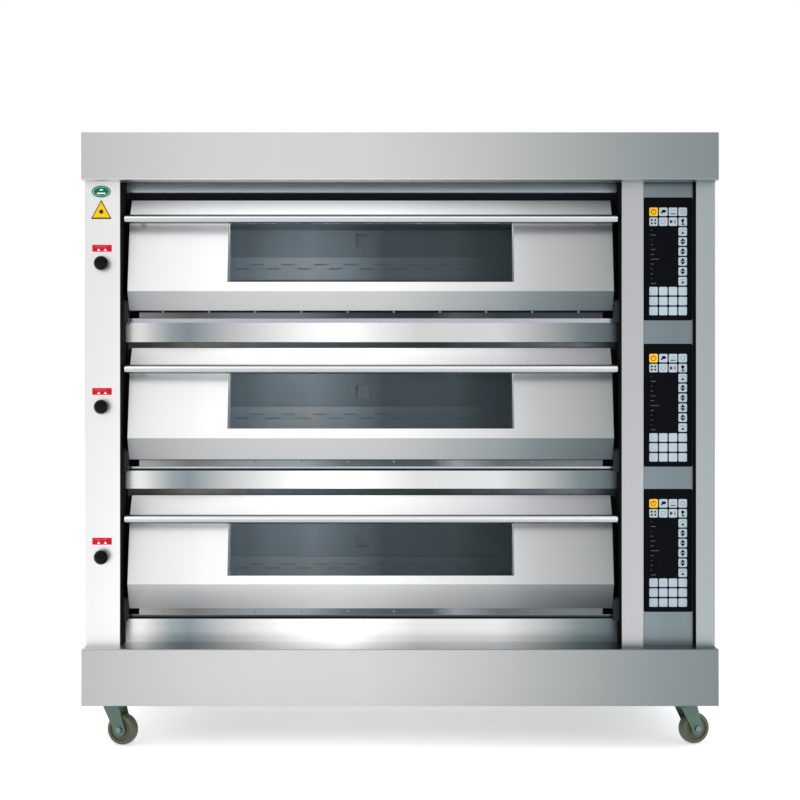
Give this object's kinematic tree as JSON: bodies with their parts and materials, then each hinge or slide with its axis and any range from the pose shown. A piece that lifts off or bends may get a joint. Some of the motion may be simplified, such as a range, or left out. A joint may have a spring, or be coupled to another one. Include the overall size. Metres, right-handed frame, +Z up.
{
  "type": "deck oven",
  "caption": "Electric bakery deck oven: stacked chambers with drop-down glazed doors, damper knobs, key panels and a brushed steel body on swivel casters.",
  "frame": {"origin": "middle of the overall box, on the floor under the wheels", "axes": "+X to the oven's right seen from the front, +Y to the rear, +Z up; the doors face -Y"},
  "size_m": [1.65, 0.92, 1.6028],
  "materials": {
    "brushed_steel_casing": "brushed along X",
    "recess_steel": "satin, blue-grey",
    "galvanised_steel": "galvanised",
    "polished_steel": "polished",
    "liner_steel": "satin",
    "chamber_steel": "satin, heat-dulled",
    "hearth_steel": "blued sheet",
    "element_steel": "heat-oxidised",
    "insulation_wool": "mineral wool",
    "seal_rope": "woven glass rope",
    "panel_film": "printed film",
    "key_film": "printed film",
    "power_key_film": "printed film",
    "hinge_steel": "satin",
    "zinc_steel": "bright zinc",
    "bolt_steel": "bright zinc",
    "wheel_nylon": "cream nylon",
    "electrics_plastic": "moulded",
    "gland_plastic": "moulded",
    "door_glass": "clear tempered",
    "handle_chrome": "polished tube",
    "knob_black": "phenolic ball",
    "rod_steel": "drawn bar"
  },
  "bodies": {
    "oven_body": {"base_box": "brushed_steel_casing", "cable_gland": "gland_plastic", "caster_plates": "zinc_steel", "chamber_bottom": "chamber_steel", "chamber_middle": "chamber_steel", "chamber_top": "chamber_steel", "column_left": "brushed_steel_casing", "control_backplate": "recess_steel", "control_columns": "brushed_steel_casing", "control_keys": "key_film", "control_membranes": "panel_film", "cross_rails": "polished_steel", "door_seals": "seal_rope", "electrics": "electrics_plastic", "flue_duct": "galvanised_steel", "hearth_plates": "hearth_steel", "heating_elements": "element_steel", "hinge_brackets": "hinge_steel", "hood": "brushed_steel_casing", "inner_walls": "galvanised_steel", "insulation": "insulation_wool", "rear_guards": "chamber_steel", "rear_panel": "galvanised_steel", "side_panels": "brushed_steel_casing"},
    "door_bottom": {"door_bottom_skin": "polished_steel", "door_bottom_liner": "liner_steel", "door_bottom_glass": "door_glass", "door_bottom_handle": "handle_chrome", "door_bottom_hinge_pins": "hinge_steel"},
    "damper_bottom": {"damper_bottom_knob": "knob_black", "damper_bottom_rod": "rod_steel"},
    "power_key_bottom": {"power_key_bottom": "power_key_film"},
    "door_middle": {"door_middle_skin": "polished_steel", "door_middle_liner": "liner_steel", "door_middle_glass": "door_glass", "door_middle_handle": "handle_chrome", "door_middle_hinge_pins": "hinge_steel"},
    "damper_middle": {"damper_middle_knob": "knob_black", "damper_middle_rod": "rod_steel"},
    "power_key_middle": {"power_key_middle": "power_key_film"},
    "door_top": {"door_top_skin": "polished_steel", "door_top_liner": "liner_steel", "door_top_glass": "door_glass", "door_top_handle": "handle_chrome", "door_top_hinge_pins": "hinge_steel"},
    "damper_top": {"damper_top_knob": "knob_black", "damper_top_rod": "rod_steel"},
    "power_key_top": {"power_key_top": "power_key_film"},
    "caster_front_left_swivel": {"caster_front_left_fork": "zinc_steel", "caster_front_left_axle": "bolt_steel"},
    "caster_front_left_wheel": {"caster_front_left_wheel": "wheel_nylon"},
    "caster_front_right_swivel": {"caster_front_right_fork": "zinc_steel", "caster_front_right_axle": "bolt_steel"},
    "caster_front_right_wheel": {"caster_front_right_wheel": "wheel_nylon"},
    "caster_rear_left_swivel": {"caster_rear_left_fork": "zinc_steel", "caster_rear_left_axle": "bolt_steel"},
    "caster_rear_left_wheel": {"caster_rear_left_wheel": "wheel_nylon"},
    "caster_rear_right_swivel": {"caster_rear_right_fork": "zinc_steel", "caster_rear_right_axle": "bolt_steel"},
    "caster_rear_right_wheel": {"caster_rear_right_wheel": "wheel_nylon"}
  },
  "joints": [
    {"name": "door_bottom_hinge", "type": "hinge", "parent": "oven_body", "child": "door_bottom", "pos_m": [-0.07735, -0.335, 0.376], "axis": [1, 0, 0], "range_deg": [0, 88]},
    {"name": "door_middle_hinge", "type": "hinge", "parent": "oven_body", "child": "door_middle", "pos_m": [-0.07735, -0.335, 0.7714], "axis": [1, 0, 0], "range_deg": [0, 88]},
    {"name": "door_top_hinge", "type": "hinge", "parent": "oven_body", "child": "door_top", "pos_m": [-0.07735, -0.335, 1.1668], "axis": [1, 0, 0], "range_deg": [0, 88]},
    {"name": "damper_bottom_slide", "type": "slide", "parent": "oven_body", "child": "damper_bottom", "axis": [0, -1, 0], "range_m": [0, 0.06]},
    {"name": "damper_middle_slide", "type": "slide", "parent": "oven_body", "child": "damper_middle", "axis": [0, -1, 0], "range_m": [0, 0.06]},
    {"name": "damper_top_slide", "type": "slide", "parent": "oven_body", "child": "damper_top", "axis": [0, -1, 0], "range_m": [0, 0.06]},
    {"name": "power_key_bottom_press", "type": "slide", "parent": "oven_body", "child": "power_key_bottom", "axis": [0, 1, 0], "range_m": [0, 0.001], "stiffness_N_per_m": 400},
    {"name": "power_key_middle_press", "type": "slide", "parent": "oven_body", "child": "power_key_middle", "axis": [0, 1, 0], "range_m": [0, 0.001], "stiffness_N_per_m": 400},
    {"name": "power_key_top_press", "type": "slide", "parent": "oven_body", "child": "power_key_top", "axis": [0, 1, 0], "range_m": [0, 0.001], "stiffness_N_per_m": 400},
    {"name": "caster_front_left_swivel", "type": "hinge", "parent": "oven_body", "child": "caster_front_left_swivel", "pos_m": [-0.756, -0.348, 0.108], "axis": [0, 0, 1], "continuous": true},
    {"name": "caster_front_left_roll", "type": "hinge", "parent": "caster_front_left_swivel", "child": "caster_front_left_wheel", "pos_m": [-0.73266, -0.35696, 0.041], "axis": [0.3584, 0.9336, 0], "continuous": true},
    {"name": "caster_front_right_swivel", "type": "hinge", "parent": "oven_body", "child": "caster_front_right_swivel", "pos_m": [0.756, -0.348, 0.108], "axis": [0, 0, 1], "continuous": true},
    {"name": "caster_front_right_roll", "type": "hinge", "parent": "caster_front_right_swivel", "child": "caster_front_right_wheel", "pos_m": [0.77934, -0.33904, 0.041], "axis": [-0.3584, 0.9336, 0], "continuous": true},
    {"name": "caster_rear_left_swivel", "type": "hinge", "parent": "oven_body", "child": "caster_rear_left_swivel", "pos_m": [-0.756, 0.348, 0.108], "axis": [0, 0, 1], "continuous": true},
    {"name": "caster_rear_left_roll", "type": "hinge", "parent": "caster_rear_left_swivel", "child": "caster_rear_left_wheel", "pos_m": [-0.73174, 0.35405, 0.041], "axis": [-0.2419, 0.9703, 0], "continuous": true},
    {"name": "caster_rear_right_swivel", "type": "hinge", "parent": "oven_body", "child": "caster_rear_right_swivel", "pos_m": [0.756, 0.348, 0.108], "axis": [0, 0, 1], "continuous": true},
    {"name": "caster_rear_right_roll", "type": "hinge", "parent": "caster_rear_right_swivel", "child": "caster_rear_right_wheel", "pos_m": [0.78003, 0.34111, 0.041], "axis": [0.2756, 0.9613, 0], "continuous": true}
  ]
}
